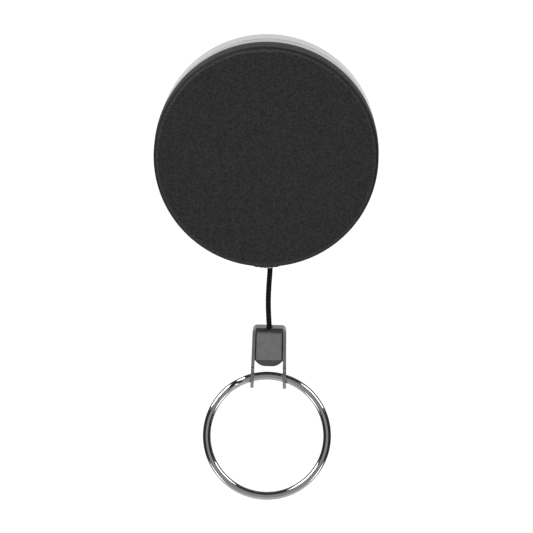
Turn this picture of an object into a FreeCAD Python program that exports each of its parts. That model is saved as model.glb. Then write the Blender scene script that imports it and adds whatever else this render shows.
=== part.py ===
"""Retractable badge reel: a sprung cord spool in a round case with a belt clip and a key ring.

Millimetres. +Z is up, the black front cap faces -Y, and the spool turns about the Y axis. The
origin is the middle of the belt gap, between the case's back and the tongue of the belt clip.
Depths are measured from the front face of the cap, towards the back.
"""
import FreeCAD, Part
import math
import os
import Sketcher
from types import SimpleNamespace

# Driving dimensions: name, value in millimetres (angles in degrees), meaning.
DIMENSIONS = [
    ("cap_radius", 21.0, "outside radius of the front cap, which is the case's radius"),
    ("skirt_depth", 5.4, "depth of the cap's skirt"),
    ("face_thickness", 1.2, "thickness of the cap's face"),
    ("edge_round", 1.0, "rounding of the cap's front edge"),
    ("bead_depth", 2.5, "depth of the fine groove round the cap's skirt"),
    ("bead_size", 0.14, "half width of that groove, and its depth into the skirt"),
    ("case_depth", 16.2, "depth of the whole case"),
    ("shell_radius", 20.5, "outside radius of the rear shell"),
    ("shell_taper", 0.05, "how much smaller the shell is in front of its line"),
    ("line_depth", 10.6, "depth of the fine line drawn round the shell"),
    ("shell_wall", 0.8, "sheet thickness of the shell"),
    ("rim_radius", 20.0, "outside radius of the shell's rim inside the cap"),
    ("rim_start", 2.0, "depth at which that rim starts"),
    ("back_round", 1.0, "rounding of the shell's back edge"),
    ("fit_gap", 0.05, "clearance between pieces that fit each other"),
    ("belt_gap", 5.2, "gap between the clip's base and its tongue"),
    ("clip_sheet", 0.8, "sheet thickness of the belt clip"),
    ("clip_width", 14.0, "width of the belt clip"),
    ("clip_top", 16.4, "height of the clip's bend above the case axis"),
    ("clip_bend", 3.2, "outside radius of the clip's bend"),
    ("base_low", 14.0, "reach of the clip's base below the case axis"),
    ("tongue_low", 21.0, "reach of the tongue below the case axis"),
    ("rivet_pitch", 19.0, "distance between the two clip rivets"),
    ("rivet_radius", 1.15, "shank radius of a clip rivet"),
    ("rivet_head", 2.1, "head radius of a clip rivet"),
    ("head_height", 0.5, "height of the rivet heads and of the post's peened head"),
    ("cord_depth", 8.6, "depth of the plane in which the cord runs"),
    ("cord_radius", 0.475, "radius of the cord"),
    ("bore_radius", 1.22, "radius of the eyelet's bore"),
    ("groove_width", 5.2, "width of the spool's cord groove"),
    ("barrel_radius", 13.6, "radius of the barrel that the cord is wound on"),
    ("well_radius", 12.0, "radius of the spring well inside the barrel"),
    ("flange_radius", 18.4, "radius of the spool's flanges"),
    ("flange_thickness", 1.0, "thickness of a spool flange"),
    ("winding_radius", 15.5, "outside radius of the wound cord"),
    ("arbor_radius", 2.4, "radius of the post inside the mainspring"),
    ("journal_radius", 1.9, "radius of the post in the spool's front hub"),
    ("tail_radius", 1.5, "radius of the post's tail through the shell and the clip"),
    ("post_flange_radius", 4.0, "radius of the post's flange on the shell's back"),
    ("screw_circle", 12.8, "radius of the circle of the three flange screws"),
    ("screw_radius", 0.48, "shank radius of a flange screw"),
    ("strip_thickness", 0.2, "thickness of the mainspring's strip"),
    ("strip_width", 5.1, "width of the mainspring's strip"),
    ("bracket_sheet", 0.6, "sheet thickness of the ring bracket"),
    ("bracket_half_width", 3.15, "half the bracket's width at its roof"),
    ("leg_splay", 0.2, "how much further out a leg's foot is than its top"),
    ("bracket_half_depth", 2.2, "half the bracket's depth from front to back"),
    ("leg_length", 11.35, "reach of the legs below the middle of the roof"),
    ("ear_height", 9.4, "distance from the roof's middle down to the ear holes"),
    ("ear_hole", 1.55, "radius of the ear holes"),
    ("front_plate_length", 5.55, "reach of the front plate below the roof's middle"),
    ("front_plate_half", 2.36, "half the front plate's width"),
    ("back_plate_length", 7.57, "reach of the back plate below the roof's middle"),
    ("back_plate_half", 3.0, "half the back plate's width behind the legs"),
    ("fold_radius", 1.3, "outside radius of the fold between the roof and the front plate"),
    ("leg_half_depth", 1.5, "half a leg's depth beside the two plates"),
    ("ring_outside", 12.03, "outside radius of the split ring"),
    ("wire_radial", 1.45, "thickness of the ring's wire across the ring"),
    ("wire_axial", 1.23, "thickness of the ring's wire along the ring's axis"),
    ("coil_pitch", 1.25, "distance between the ring's two coils"),
    ("ring_drop", 20.33, "distance from the roof's middle down to the centre of the ring, untilted"),
    ("ring_hold", 10.83, "distance from the ring's centre up to where the ears hold it"),
    ("ring_tilt", 9.0, "how far the ring's low end hangs forward, degrees"),
    ("hang_across", 0.54, "how far right of the case axis the cord meets the bracket"),
    ("hang_height", -34.5, "height of the middle of the bracket's roof"),
    ("hang_lean", 1.3, "lean of the bracket and ring, their low end to the left, degrees"),
]

PLANES = {"across_depth": "XY_Plane", "across_up": "XZ_Plane", "depth_up": "YZ_Plane"}
TOUCH = 1e-4


class Size:
    """A length together with the expression of the sheet's cells that gives it."""

    def __init__(self, number, words):
        self.number = number
        self.words = words

    def __add__(self, other):
        other = sized(other)
        return Size(self.number + other.number, f"({self.words} + {other.words})")

    def __sub__(self, other):
        other = sized(other)
        return Size(self.number - other.number, f"({self.words} - {other.words})")

    def __rsub__(self, other):
        return sized(other) - self

    def __mul__(self, factor):
        return Size(self.number * factor, f"({self.words} * {factor})")

    def __neg__(self):
        return Size(-self.number, f"(-1 * {self.words})")

    __radd__ = __add__
    __rmul__ = __mul__


def sized(value):
    """A plain number as a Size."""
    if isinstance(value, Size):
        return value
    return Size(float(value), f"({float(value)})")


doc = FreeCAD.newDocument("badge_reel")
sheet = doc.addObject("Spreadsheet::Sheet", "dims")
for row, (alias, number, meaning) in enumerate(DIMENSIONS, 1):
    sheet.set(f"A{row}", alias)
    sheet.set(f"B{row}", str(number))
    sheet.setAlias(f"B{row}", alias)
    sheet.set(f"C{row}", meaning)
doc.recompute()
dim = SimpleNamespace(**{alias: Size(number, f"dims.{alias}") for alias, number, _ in DIMENSIONS})

front_y = -(dim.belt_gap * 0.5 + dim.clip_sheet + dim.case_depth)
cord_y = front_y + dim.cord_depth
pieces = []


# ---------------------------------------------------------------- building tools

def new_body(label, across=0, along=front_y, up=0, lean=None):
    """An empty body for one sub-part, placed in the part's frame."""
    body = doc.addObject("PartDesign::Body", label)
    body.Label = label
    for letter, place in zip("xyz", (across, along, up)):
        body.setExpression(f".Placement.Base.{letter}", sized(place).words)
    if lean is not None:
        body.Placement.Rotation = FreeCAD.Rotation(FreeCAD.Vector(0, 1, 0), lean.number)
        body.setExpression(".Placement.Rotation.Angle", lean.words)
    pieces.append(body)
    return body


def new_sketch(body, view, name, shift=0):
    """A sketch on one of the body's own origin planes, moved along the plane's normal."""
    plane = next(part for part in body.Origin.OriginFeatures if part.Role == PLANES[view])
    sketch = body.newObject("Sketcher::SketchObject", name)
    sketch.AttachmentSupport = [(plane, "")]
    sketch.MapMode = "FlatFace"
    sketch.setExpression(".AttachmentOffset.Base.z", sized(shift).words)
    return sketch


def hold_point(sketch, geometry, point, across, up):
    """Fix a sketch point by its two distances from the sketch's origin."""
    for kind, place in (("DistanceX", across), ("DistanceY", up)):
        rule = Sketcher.Constraint(kind, -1, 1, geometry, point, place.number)
        number = sketch.addConstraint(rule)
        sketch.setExpression(f"Constraints[{number}]", place.words)


def add_outline(sketch, corners):
    """Draw a closed outline of straight edges through the corners."""
    corners = [(sized(across), sized(up)) for across, up in corners]
    first = sketch.GeometryCount
    count = len(corners)
    for here, there in zip(corners, corners[1:] + corners[:1]):
        start = FreeCAD.Vector(here[0].number, here[1].number, 0)
        end = FreeCAD.Vector(there[0].number, there[1].number, 0)
        sketch.addGeometry(Part.LineSegment(start, end))
    for n in range(count):
        after = first + (n + 1) % count
        sketch.addConstraint(Sketcher.Constraint("Coincident", first + n, 2, after, 1))
    for n, (across, up) in enumerate(corners):
        hold_point(sketch, first + n, 1, across, up)


def add_circle(sketch, radius, across=0, up=0):
    """Draw a circle of the given radius and centre."""
    radius, across, up = sized(radius), sized(across), sized(up)
    centre = FreeCAD.Vector(across.number, up.number, 0)
    circle = sketch.addGeometry(Part.Circle(centre, FreeCAD.Vector(0, 0, 1), radius.number))
    hold_point(sketch, circle, 3, across, up)
    rule = sketch.addConstraint(Sketcher.Constraint("Radius", circle, radius.number))
    sketch.setExpression(f"Constraints[{rule}]", radius.words)


def turned(body, sketch, kind="Revolution"):
    """Turn the sketch a full turn about its own upright axis."""
    feature = body.newObject(f"PartDesign::{kind}", f"{sketch.Name}_turned")
    feature.Profile = sketch
    feature.ReferenceAxis = (sketch, ["V_Axis"])
    feature.Angle = 360
    sketch.Visibility = False
    doc.recompute()
    return feature


def extruded(body, sketch, kind, length, both_ways=False, backwards=False):
    """Pad or pocket the sketch by a length, which straddles the sketch if both_ways."""
    before = body.Tip.Shape.Volume if kind == "Pocket" else 0
    feature = body.newObject(f"PartDesign::{kind}", f"{sketch.Name}_{kind.lower()}")
    feature.Profile = sketch
    feature.setExpression("Length", sized(length).words)
    feature.Midplane = both_ways
    feature.Reversed = backwards
    sketch.Visibility = False
    doc.recompute()
    if kind == "Pocket" and feature.Shape.Volume > before - TOUCH:
        raise RuntimeError(f"{feature.Name} cuts nothing")
    return feature


def dressed(body, kind, amount, wanted):
    """Fillet or chamfer the edges of the body's tip that the test picks."""
    tip = body.Tip
    names = [f"Edge{n}" for n, edge in enumerate(tip.Shape.Edges, 1) if wanted(edge)]
    if not names:
        raise RuntimeError(f"no edge to dress on {body.Label}")
    feature = body.newObject(f"PartDesign::{kind}", f"{body.Name}_{kind.lower()}")
    feature.Base = (tip, names)
    feature.setExpression("Radius" if kind == "Fillet" else "Size", sized(amount).words)
    doc.recompute()
    return feature


def ring_at(radius, depth):
    """A test for a circular edge about the Y axis."""
    def wanted(edge):
        curve = edge.Curve
        if not isinstance(curve, Part.Circle):
            return False
        centre = curve.Center
        on_axis = math.hypot(centre.x, centre.z) < TOUCH
        return on_axis and math.isclose(curve.Radius, sized(radius).number, abs_tol=TOUCH) \
            and math.isclose(centre.y, sized(depth).number, abs_tol=TOUCH)
    return wanted


def straight_at(along, first, second):
    """A test for straight edges along one axis, at the two other coordinates' sizes."""
    kept = [n for n in range(3) if n != "xyz".index(along)]
    sizes = [sized(first).number, sized(second).number]

    def wanted(edge):
        if not isinstance(edge.Curve, Part.Line):
            return False
        ends = [vertex.Point for vertex in edge.Vertexes]
        return all(
            math.isclose(end[n], size, abs_tol=TOUCH) for end in ends for n, size in zip(kept, sizes)
        )
    return wanted


def any_of(*tests):
    """A test that passes where any of the tests passes."""
    return lambda edge: any(test(edge) for test in tests)


def plain_part(label, shape, base=FreeCAD.Vector(), lean=0.0):
    """A sub-part whose shape comes from Part's own functions."""
    part = doc.addObject("Part::Feature", label)
    part.Label = label
    part.Shape = shape
    leaning = FreeCAD.Rotation(FreeCAD.Vector(0, 1, 0), lean)
    part.Placement = FreeCAD.Placement(base, leaning) * shape.Placement
    pieces.append(part)
    return part


def turned_body(label, corners, **place):
    """A body that is one outline of (radius, depth) corners turned about the Y axis."""
    body = new_body(label, **place)
    sketch = new_sketch(body, "across_depth", f"{label}_outline")
    add_outline(sketch, corners)
    turned(body, sketch)
    return body


# ---------------------------------------------------------------- case

def make_front_cap():
    """Black moulded cap: a face with a skirt, and a socket that centres it on the post."""
    inner = dim.rim_radius + dim.fit_gap
    socket_depth = dim.face_thickness + 0.9
    socket_wall = dim.journal_radius + 1.6
    socket_bore = dim.journal_radius + dim.fit_gap
    bottom = dim.cap_radius - dim.bead_size
    cap = turned_body("front_cap", [
        (0, 0),
        (dim.cap_radius, 0),
        (dim.cap_radius, dim.bead_depth - dim.bead_size),
        (bottom, dim.bead_depth),
        (dim.cap_radius, dim.bead_depth + dim.bead_size),
        (dim.cap_radius, dim.skirt_depth),
        (inner, dim.skirt_depth),
        (inner, dim.face_thickness),
        (socket_wall, dim.face_thickness),
        (socket_wall, socket_depth),
        (socket_bore, socket_depth),
        (socket_bore, dim.face_thickness),
        (0, dim.face_thickness),
    ])
    dressed(cap, "Fillet", dim.edge_round, ring_at(dim.cap_radius, 0))
    dressed(cap, "Fillet", 0.2, ring_at(dim.cap_radius, dim.skirt_depth))


def make_rear_shell():
    """Drawn metal cup with a stepped rim, a fine line round it and holes for what it carries."""
    inner = dim.shell_radius - dim.shell_wall
    front = dim.shell_radius - dim.shell_taper
    line_bottom = front - 0.12
    step = dim.skirt_depth + dim.fit_gap
    rim_inner = dim.rim_radius - 0.7
    tail_hole = dim.tail_radius + dim.fit_gap
    back_inside = dim.case_depth - dim.shell_wall
    shell = turned_body("rear_shell", [
        (rim_inner, dim.rim_start),
        (dim.rim_radius, dim.rim_start),
        (dim.rim_radius, step),
        (front, step),
        (front, dim.line_depth - 0.1),
        (line_bottom, dim.line_depth),
        (line_bottom, dim.line_depth + 0.12),
        (dim.shell_radius, dim.line_depth + 0.3),
        (dim.shell_radius, dim.case_depth),
        (tail_hole, dim.case_depth),
        (tail_hole, back_inside),
        (inner, back_inside),
        (inner, step),
        (rim_inner, step - 0.4),
    ])
    dressed(shell, "Fillet", dim.back_round, ring_at(dim.shell_radius, dim.case_depth))
    dressed(shell, "Fillet", 0.4, ring_at(inner, back_inside))
    dressed(shell, "Fillet", 0.15, ring_at(front, step))
    mouth = new_sketch(shell, "across_depth", "nozzle_hole")
    add_circle(mouth, 2.15, 0, dim.cord_depth)
    extruded(shell, mouth, "Pocket", dim.cap_radius)
    rivets = new_sketch(shell, "across_up", "rivet_holes", -dim.case_depth)
    for side in (-1, 1):
        add_circle(rivets, dim.rivet_radius + dim.fit_gap, 0, dim.rivet_pitch * (0.5 * side))
    extruded(shell, rivets, "Pocket", 2.0, both_ways=True)


NOZZLE_TOP = -18.85
LINER_TOP = -20.3
BLOCK_BOTTOM = -22.06


def make_cord_nozzle():
    """Acetal bush in the case's wall: a tapered block outside, a neck and a flange inside."""
    nozzle = new_body("cord_nozzle", along=cord_y)
    block = new_sketch(nozzle, "across_up", "nozzle_block")
    shoulder = BLOCK_BOTTOM + 0.42
    add_outline(block, [
        (-2.95, -19.9),
        (-2.95, shoulder),
        (-1.95, BLOCK_BOTTOM),
        (1.95, BLOCK_BOTTOM),
        (2.95, shoulder),
        (2.95, -19.9),
    ])
    extruded(nozzle, block, "Pad", 6.1, both_ways=True)
    corners = [straight_at("z", x, y) for x in (-2.95, 2.95) for y in (-3.05, 3.05)]
    dressed(nozzle, "Fillet", 0.8, any_of(*corners))
    saddle = new_sketch(nozzle, "across_up", "nozzle_saddle")
    add_circle(saddle, dim.shell_radius + 0.01)
    extruded(nozzle, saddle, "Pocket", 8.0, both_ways=True)
    neck = new_sketch(nozzle, "across_up", "nozzle_neck")
    add_outline(neck, [
        (0, -21.0),
        (2.1, -21.0),
        (2.1, NOZZLE_TOP - 0.6),
        (2.6, NOZZLE_TOP - 0.6),
        (2.6, NOZZLE_TOP),
        (0, NOZZLE_TOP),
    ])
    turned(nozzle, neck)
    bore = new_sketch(nozzle, "across_up", "nozzle_bore")
    liner = dim.bore_radius + 0.25
    add_outline(bore, [
        (0, BLOCK_BOTTOM - 1),
        (liner, BLOCK_BOTTOM - 1),
        (liner, LINER_TOP),
        (dim.bore_radius, LINER_TOP),
        (dim.bore_radius + 0.14, NOZZLE_TOP - 0.7),
        (dim.bore_radius + 0.7, NOZZLE_TOP),
        (0, NOZZLE_TOP),
    ])
    turned(nozzle, bore, "Groove")


def make_nozzle_eyelet():
    """Nickel liner in the nozzle's bore, with a rolled lip below it."""
    eyelet = new_body("nozzle_eyelet", along=cord_y)
    section = new_sketch(eyelet, "across_up", "eyelet_section")
    wall = dim.bore_radius + 0.23
    lip = dim.bore_radius + 0.36
    lip_bottom = BLOCK_BOTTOM - 0.55
    add_outline(section, [
        (dim.bore_radius, LINER_TOP - 0.02),
        (dim.bore_radius, lip_bottom),
        (lip, lip_bottom),
        (lip, BLOCK_BOTTOM - 0.02),
        (wall, BLOCK_BOTTOM - 0.02),
        (wall, LINER_TOP - 0.02),
    ])
    turned(eyelet, section)

    def lip_edge(edge):
        round_one = isinstance(edge.Curve, Part.Circle)
        return round_one and math.isclose(edge.Curve.Center.z, lip_bottom, abs_tol=TOUCH)
    dressed(eyelet, "Fillet", 0.14, lip_edge)


ARBOR_START = 5.7
CLIP_GROOVE = (2.35, 2.95)
HUB_START = 3.2
FLANGE_BACK = 12.2
POST_FLANGE = 12.8
SLOT_HALF = 0.25
SLOT_ENDS = (5.65, 11.05)


def make_centre_post():
    """Turned post on which the spool runs: clip groove, journal, slotted arbor, flange, tail."""
    groove_radius = dim.journal_radius - 0.4
    back_inside = dim.case_depth - dim.shell_wall
    tail_end = dim.case_depth + dim.clip_sheet
    head = dim.tail_radius + 0.9
    post = turned_body("centre_post", [
        (0, 1.5),
        (dim.journal_radius, 1.5),
        (dim.journal_radius, CLIP_GROOVE[0]),
        (groove_radius, CLIP_GROOVE[0]),
        (groove_radius, CLIP_GROOVE[1]),
        (dim.journal_radius, CLIP_GROOVE[1]),
        (dim.journal_radius, ARBOR_START),
        (dim.arbor_radius, ARBOR_START),
        (dim.arbor_radius, POST_FLANGE),
        (dim.post_flange_radius, POST_FLANGE),
        (dim.post_flange_radius, back_inside),
        (dim.tail_radius, back_inside),
        (dim.tail_radius, tail_end),
        (head, tail_end),
        (head, tail_end + dim.head_height),
        (0, tail_end + dim.head_height),
    ])
    dressed(post, "Fillet", 0.35, ring_at(head, tail_end + dim.head_height))
    dressed(post, "Chamfer", 0.25, ring_at(dim.journal_radius, 1.5))
    slot = new_sketch(post, "across_depth", "spring_slot")
    near, far = SLOT_ENDS
    add_outline(slot, [(0.7, near), (4.5, near), (4.5, far), (0.7, far)])
    extruded(post, slot, "Pocket", 2 * SLOT_HALF, both_ways=True)


def make_washers():
    """The two thin washers that the spool turns against, one at each end."""
    turned_body("front_thrust_washer", [
        (dim.journal_radius + 0.06, 2.93),
        (3.3, 2.93),
        (3.3, HUB_START - 0.03),
        (dim.journal_radius + 0.06, HUB_START - 0.03),
    ])
    turned_body("rear_thrust_washer", [
        (dim.arbor_radius + 0.06, FLANGE_BACK + 0.06),
        (3.9, FLANGE_BACK + 0.06),
        (3.9, POST_FLANGE - 0.06),
        (dim.arbor_radius + 0.06, POST_FLANGE - 0.06),
    ])


def make_retaining_clip():
    """E-clip in the post's groove: a flat ring with an open side and three inner lugs."""
    clip = new_body("retaining_clip")
    plate = new_sketch(clip, "across_up", "clip_plate", -2.42)
    add_circle(plate, 3.4)
    extruded(clip, plate, "Pad", 0.46, backwards=True)
    hole = new_sketch(clip, "across_up", "clip_hole", -2.42)
    add_circle(hole, dim.journal_radius - 0.37)
    extruded(clip, hole, "Pocket", 2.0, both_ways=True)
    mouth = new_sketch(clip, "across_up", "clip_mouth", -2.42)
    add_outline(mouth, [(-1.25, -4), (1.25, -4), (1.25, 0), (-1.25, 0)])
    extruded(clip, mouth, "Pocket", 2.0, both_ways=True)
    scallops = new_sketch(clip, "across_up", "clip_scallops", -2.42)
    for side in (-1, 1):
        add_circle(scallops, 0.85, 1.35 * side, 1.25)
    extruded(clip, scallops, "Pocket", 2.0, both_ways=True)


def make_clip_rivets():
    """Two tubular rivets through the shell's back and the clip's base."""
    inside = dim.case_depth - dim.shell_wall
    outside = dim.case_depth + dim.clip_sheet
    rivets = new_body("clip_rivets")
    profile = new_sketch(rivets, "across_depth", "rivet_profile", dim.rivet_pitch * 0.5)
    add_outline(profile, [
        (0, inside - 0.45),
        (dim.rivet_head - 0.2, inside - 0.45),
        (dim.rivet_head - 0.2, inside),
        (dim.rivet_radius, inside),
        (dim.rivet_radius, outside),
        (dim.rivet_head, outside),
        (dim.rivet_head - 0.45, outside + dim.head_height),
        (0, outside + dim.head_height),
    ])
    turned(rivets, profile)
    lower = rivets.newObject("PartDesign::Mirrored", "lower_rivet")
    lower.Originals = [rivets.Tip]
    middle = next(part for part in rivets.Origin.OriginFeatures if part.Role == "XY_Plane")
    lower.MirrorPlane = (middle, [""])
    rivets.Tip = lower
    doc.recompute()


# ---------------------------------------------------------------- belt clip

def bent_strip(body, name, corners):
    """Pad a strip's outline, drawn in depth and height, over the clip's whole width."""
    sketch = new_sketch(body, "depth_up", name)
    add_outline(sketch, corners)
    extruded(body, sketch, "Pad", dim.clip_width, both_ways=True)


def make_belt_clip_base():
    """Half of the spring-steel clip that is riveted to the case, up to the crown of its bend."""
    base = new_body("belt_clip_base", along=0)
    near = dim.belt_gap * 0.5
    far = near + dim.clip_sheet
    crown = -0.03
    bent_strip(base, "base_outline", [
        (-far, -dim.base_low),
        (-far, dim.clip_top),
        (crown, dim.clip_top),
        (crown, dim.clip_top - dim.clip_sheet),
        (-near, dim.clip_top - dim.clip_sheet),
        (-near, -dim.base_low),
    ])
    dressed(base, "Fillet", dim.clip_bend, straight_bend(-far, dim.clip_top))
    dressed(base, "Fillet", dim.clip_bend - dim.clip_sheet,
            straight_bend(-near, dim.clip_top - dim.clip_sheet))
    half = dim.clip_width * 0.5
    dressed(base, "Fillet", 2.5, any_of(
        straight_at("y", half, -dim.base_low), straight_at("y", -half, -dim.base_low)))
    holes = new_sketch(base, "across_up", "base_holes", near)
    for side in (-1, 1):
        add_circle(holes, dim.rivet_radius + dim.fit_gap, 0, dim.rivet_pitch * (0.5 * side))
    add_circle(holes, dim.tail_radius + dim.fit_gap)
    extruded(base, holes, "Pocket", 4.0, both_ways=True)


def straight_bend(depth, height):
    """A test for the edges across the clip at one bend."""
    return straight_at("x", depth, height)


def make_belt_clip_tongue():
    """The clip's springy half: from the crown down to a grip bump and a turned-out end."""
    tongue = new_body("belt_clip_tongue", along=0)
    near = dim.belt_gap * 0.5
    far = near + dim.clip_sheet
    low = -dim.tongue_low
    bump = near - 0.3
    flare = near + 1.5
    bend_in = -12.0
    bend_out = -17.4
    slant = 0.82
    bent_strip(tongue, "tongue_outline", [
        (0.03, dim.clip_top),
        (far, dim.clip_top),
        (far, bend_in),
        (bump + slant, bend_out),
        (flare + slant, low),
        (flare, low),
        (bump, bend_out - 0.1),
        (near, bend_in),
        (near, dim.clip_top - dim.clip_sheet),
        (0.03, dim.clip_top - dim.clip_sheet),
    ])
    dressed(tongue, "Fillet", dim.clip_bend, straight_bend(far, dim.clip_top))
    dressed(tongue, "Fillet", dim.clip_bend - dim.clip_sheet,
            straight_bend(near, dim.clip_top - dim.clip_sheet))
    dressed(tongue, "Fillet", 1.6, any_of(
        straight_bend(bump, bend_out - 0.1), straight_bend(bump + slant, bend_out)))
    trim = new_sketch(tongue, "across_up", "tongue_corners", -near)
    half = dim.clip_width * 0.5
    for side in (-1, 1):
        add_outline(trim, [
            (half * side, low - 0.1),
            (half * side, low + 3.2),
            (half * side - 2.6 * side, low - 0.1),
        ])
    extruded(tongue, trim, "Pocket", 8.0, both_ways=True)


# ---------------------------------------------------------------- spool

def make_spool_drum():
    """Moulded drum: hub, web, front flange, and the barrel round the spring well."""
    groove_front = dim.cord_depth - dim.groove_width * 0.5
    groove_back = dim.cord_depth + dim.groove_width * 0.5
    web_front = groove_front - 2.1
    web_back = groove_front - 0.9
    hub = 3.6
    bore = dim.journal_radius + dim.fit_gap
    drum = turned_body("spool_drum", [
        (bore, HUB_START),
        (hub, HUB_START),
        (hub, web_front),
        (dim.well_radius, web_front),
        (dim.barrel_radius + 0.4, groove_front - dim.flange_thickness),
        (dim.flange_radius, groove_front - dim.flange_thickness),
        (dim.flange_radius, groove_front),
        (dim.barrel_radius, groove_front),
        (dim.barrel_radius, groove_back),
        (dim.well_radius, groove_back),
        (dim.well_radius, web_back),
        (hub, web_back),
        (hub, web_back + 0.5),
        (bore, web_back + 0.5),
    ])
    dressed(drum, "Fillet", 0.3, any_of(
        ring_at(dim.flange_radius, groove_front),
        ring_at(dim.flange_radius, groove_front - dim.flange_thickness)))
    holes = new_sketch(drum, "across_up", "screw_pilot", -groove_back)
    add_circle(holes, dim.screw_radius + 0.02, 0, dim.screw_circle)
    pilot = extruded(drum, holes, "Pocket", 5.0, both_ways=True)
    repeat_round(drum, pilot, 3)
    windows = new_sketch(drum, "across_up", "web_windows", -web_front)
    add_circle(windows, 2.2, 0, 8.2)
    window = extruded(drum, windows, "Pocket", 3.0, both_ways=True)
    repeat_round(drum, window, 5)


def repeat_round(body, feature, count):
    """Repeat a feature evenly round the Y axis."""
    pattern = body.newObject("PartDesign::PolarPattern", f"{feature.Name}_round")
    pattern.Originals = [feature]
    axis = next(part for part in body.Origin.OriginFeatures if part.Role == "Y_Axis")
    pattern.Axis = (axis, [""])
    pattern.Angle = 360
    pattern.Occurrences = count
    body.Tip = pattern
    doc.recompute()


KNOT_CIRCLE = 14.2
KNOT_ANGLE = 100.0


def make_rear_flange():
    """Disc that closes the spring well and makes the groove's rear side."""
    face = dim.cord_depth + dim.groove_width * 0.5
    bore = dim.arbor_radius + dim.fit_gap + 0.01
    step = dim.well_radius - 0.08
    flange = turned_body("rear_flange", [
        (bore, face),
        (step - 0.8, face),
        (step - 0.8, face - 0.2),
        (step, face - 0.2),
        (step, face),
        (dim.flange_radius, face),
        (dim.flange_radius, face + dim.flange_thickness),
        (bore, face + dim.flange_thickness),
    ])
    dressed(flange, "Fillet", 0.3, any_of(
        ring_at(dim.flange_radius, face),
        ring_at(dim.flange_radius, face + dim.flange_thickness)))
    holes = new_sketch(flange, "across_up", "flange_screw_hole", -face)
    add_circle(holes, dim.screw_radius + 0.07, 0, dim.screw_circle)
    hole = extruded(flange, holes, "Pocket", 4.0, both_ways=True)
    repeat_round(flange, hole, 3)
    exit_hole = new_sketch(flange, "across_up", "cord_hole", -face)
    turn = math.radians(KNOT_ANGLE)
    add_circle(exit_hole, dim.cord_radius + 0.07,
               KNOT_CIRCLE * math.cos(turn), KNOT_CIRCLE * math.sin(turn))
    extruded(flange, exit_hole, "Pocket", 4.0, both_ways=True)


def make_flange_screws():
    """Three small screws that hold the rear flange to the barrel."""
    back = dim.cord_depth + dim.groove_width * 0.5 + dim.flange_thickness
    screws = new_body("flange_screws")
    profile = new_sketch(screws, "across_depth", "screw_profile", dim.screw_circle)
    add_outline(profile, [
        (0, back - 3.2),
        (dim.screw_radius - 0.25, back - 3.2),
        (dim.screw_radius, back - 2.8),
        (dim.screw_radius, back),
        (dim.screw_radius + 0.45, back),
        (dim.screw_radius + 0.45, back + 0.3),
        (dim.screw_radius + 0.2, back + 0.5),
        (0, back + 0.5),
    ])
    turned_one = turned(screws, profile)
    slot = new_sketch(screws, "across_up", "screw_slot", -(back + 0.5))
    add_outline(slot, [
        (-0.6, dim.screw_circle - 0.1),
        (0.6, dim.screw_circle - 0.1),
        (0.6, dim.screw_circle + 0.1),
        (-0.6, dim.screw_circle + 0.1),
    ])
    cut_one = extruded(screws, slot, "Pocket", 0.5, both_ways=True)
    pattern = screws.newObject("PartDesign::PolarPattern", "three_screws")
    pattern.Originals = [turned_one, cut_one]
    axis = next(part for part in screws.Origin.OriginFeatures if part.Role == "Y_Axis")
    pattern.Axis = (axis, [""])
    pattern.Angle = 360
    pattern.Occurrences = 3
    screws.Tip = pattern
    doc.recompute()


def half_turn(centre, radius, upper, height=0.0):
    """A half circle about a point of the X axis, above or below it."""
    side = 1 if upper else -1
    start = FreeCAD.Vector(centre + radius * side, height, 0)
    middle = FreeCAD.Vector(centre, height, radius * side)
    end = FreeCAD.Vector(centre - radius * side, height, 0)
    return Part.Arc(start, middle, end).toShape()


def make_mainspring():
    """Flat spiral spring in the well, from the arbor's slot out to the barrel's wall.

    The strip is a chain of half circles whose centres step along the X axis. A few open turns
    lead from the arbor to the packed turns, which lie against the barrel.
    """
    half = dim.strip_thickness.number / 2
    open_turns = 4
    packed_turns = 8
    radius = dim.arbor_radius.number + 0.35
    packed_start = 8.1
    outermost = dim.well_radius.number - half - 0.4
    open_step = (packed_start - radius) / (2 * open_turns)
    packed_step = (outermost - packed_start) / (2 * packed_turns)
    centre = 0.0
    upper = True
    inner_side = []
    outer_side = []
    first = centre + radius
    for number in range(2 * (open_turns + packed_turns)):
        inner_side.append(half_turn(centre, radius - half, upper))
        outer_side.append(half_turn(centre, radius + half, upper))
        step = open_step if number < 2 * open_turns else packed_step
        centre += step if upper else -step
        radius += step
        upper = not upper
    tang = 1.1
    foot = [
        FreeCAD.Vector(first - half, 0, 0),
        FreeCAD.Vector(tang, 0, 0),
        FreeCAD.Vector(tang, 0, -2 * half),
        FreeCAD.Vector(first + half, 0, -2 * half),
        FreeCAD.Vector(first + half, 0, 0),
    ]
    edges = [Part.LineSegment(here, there).toShape() for here, there in zip(foot, foot[1:])]
    last_in = inner_side[-1].Vertexes[-1].Point
    last_out = outer_side[-1].Vertexes[-1].Point
    edges += [Part.LineSegment(last_in, last_out).toShape()]
    outline = Part.Wire(Part.__sortEdges__(inner_side + outer_side + edges))
    strip = Part.Face(outline).extrude(FreeCAD.Vector(0, dim.strip_width.number, 0))
    start = front_y.number + SLOT_ENDS[0] + 0.1
    plain_part("mainspring", strip, FreeCAD.Vector(0, start, 0))


# ---------------------------------------------------------------- cord

# The cord's free run as (across, up): round the wound cord, over to the nozzle, down to the knot.
CORD_ROUTE = [
    (14.20, -7.50),
    (12.30, -11.35),
    (6.90, -14.75),
    (0.66, -17.55),
    (0.73, -22.30),
    (0.33, -27.30),
    (0.30, -31.30),
    (0.54, -34.82),
]


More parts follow.
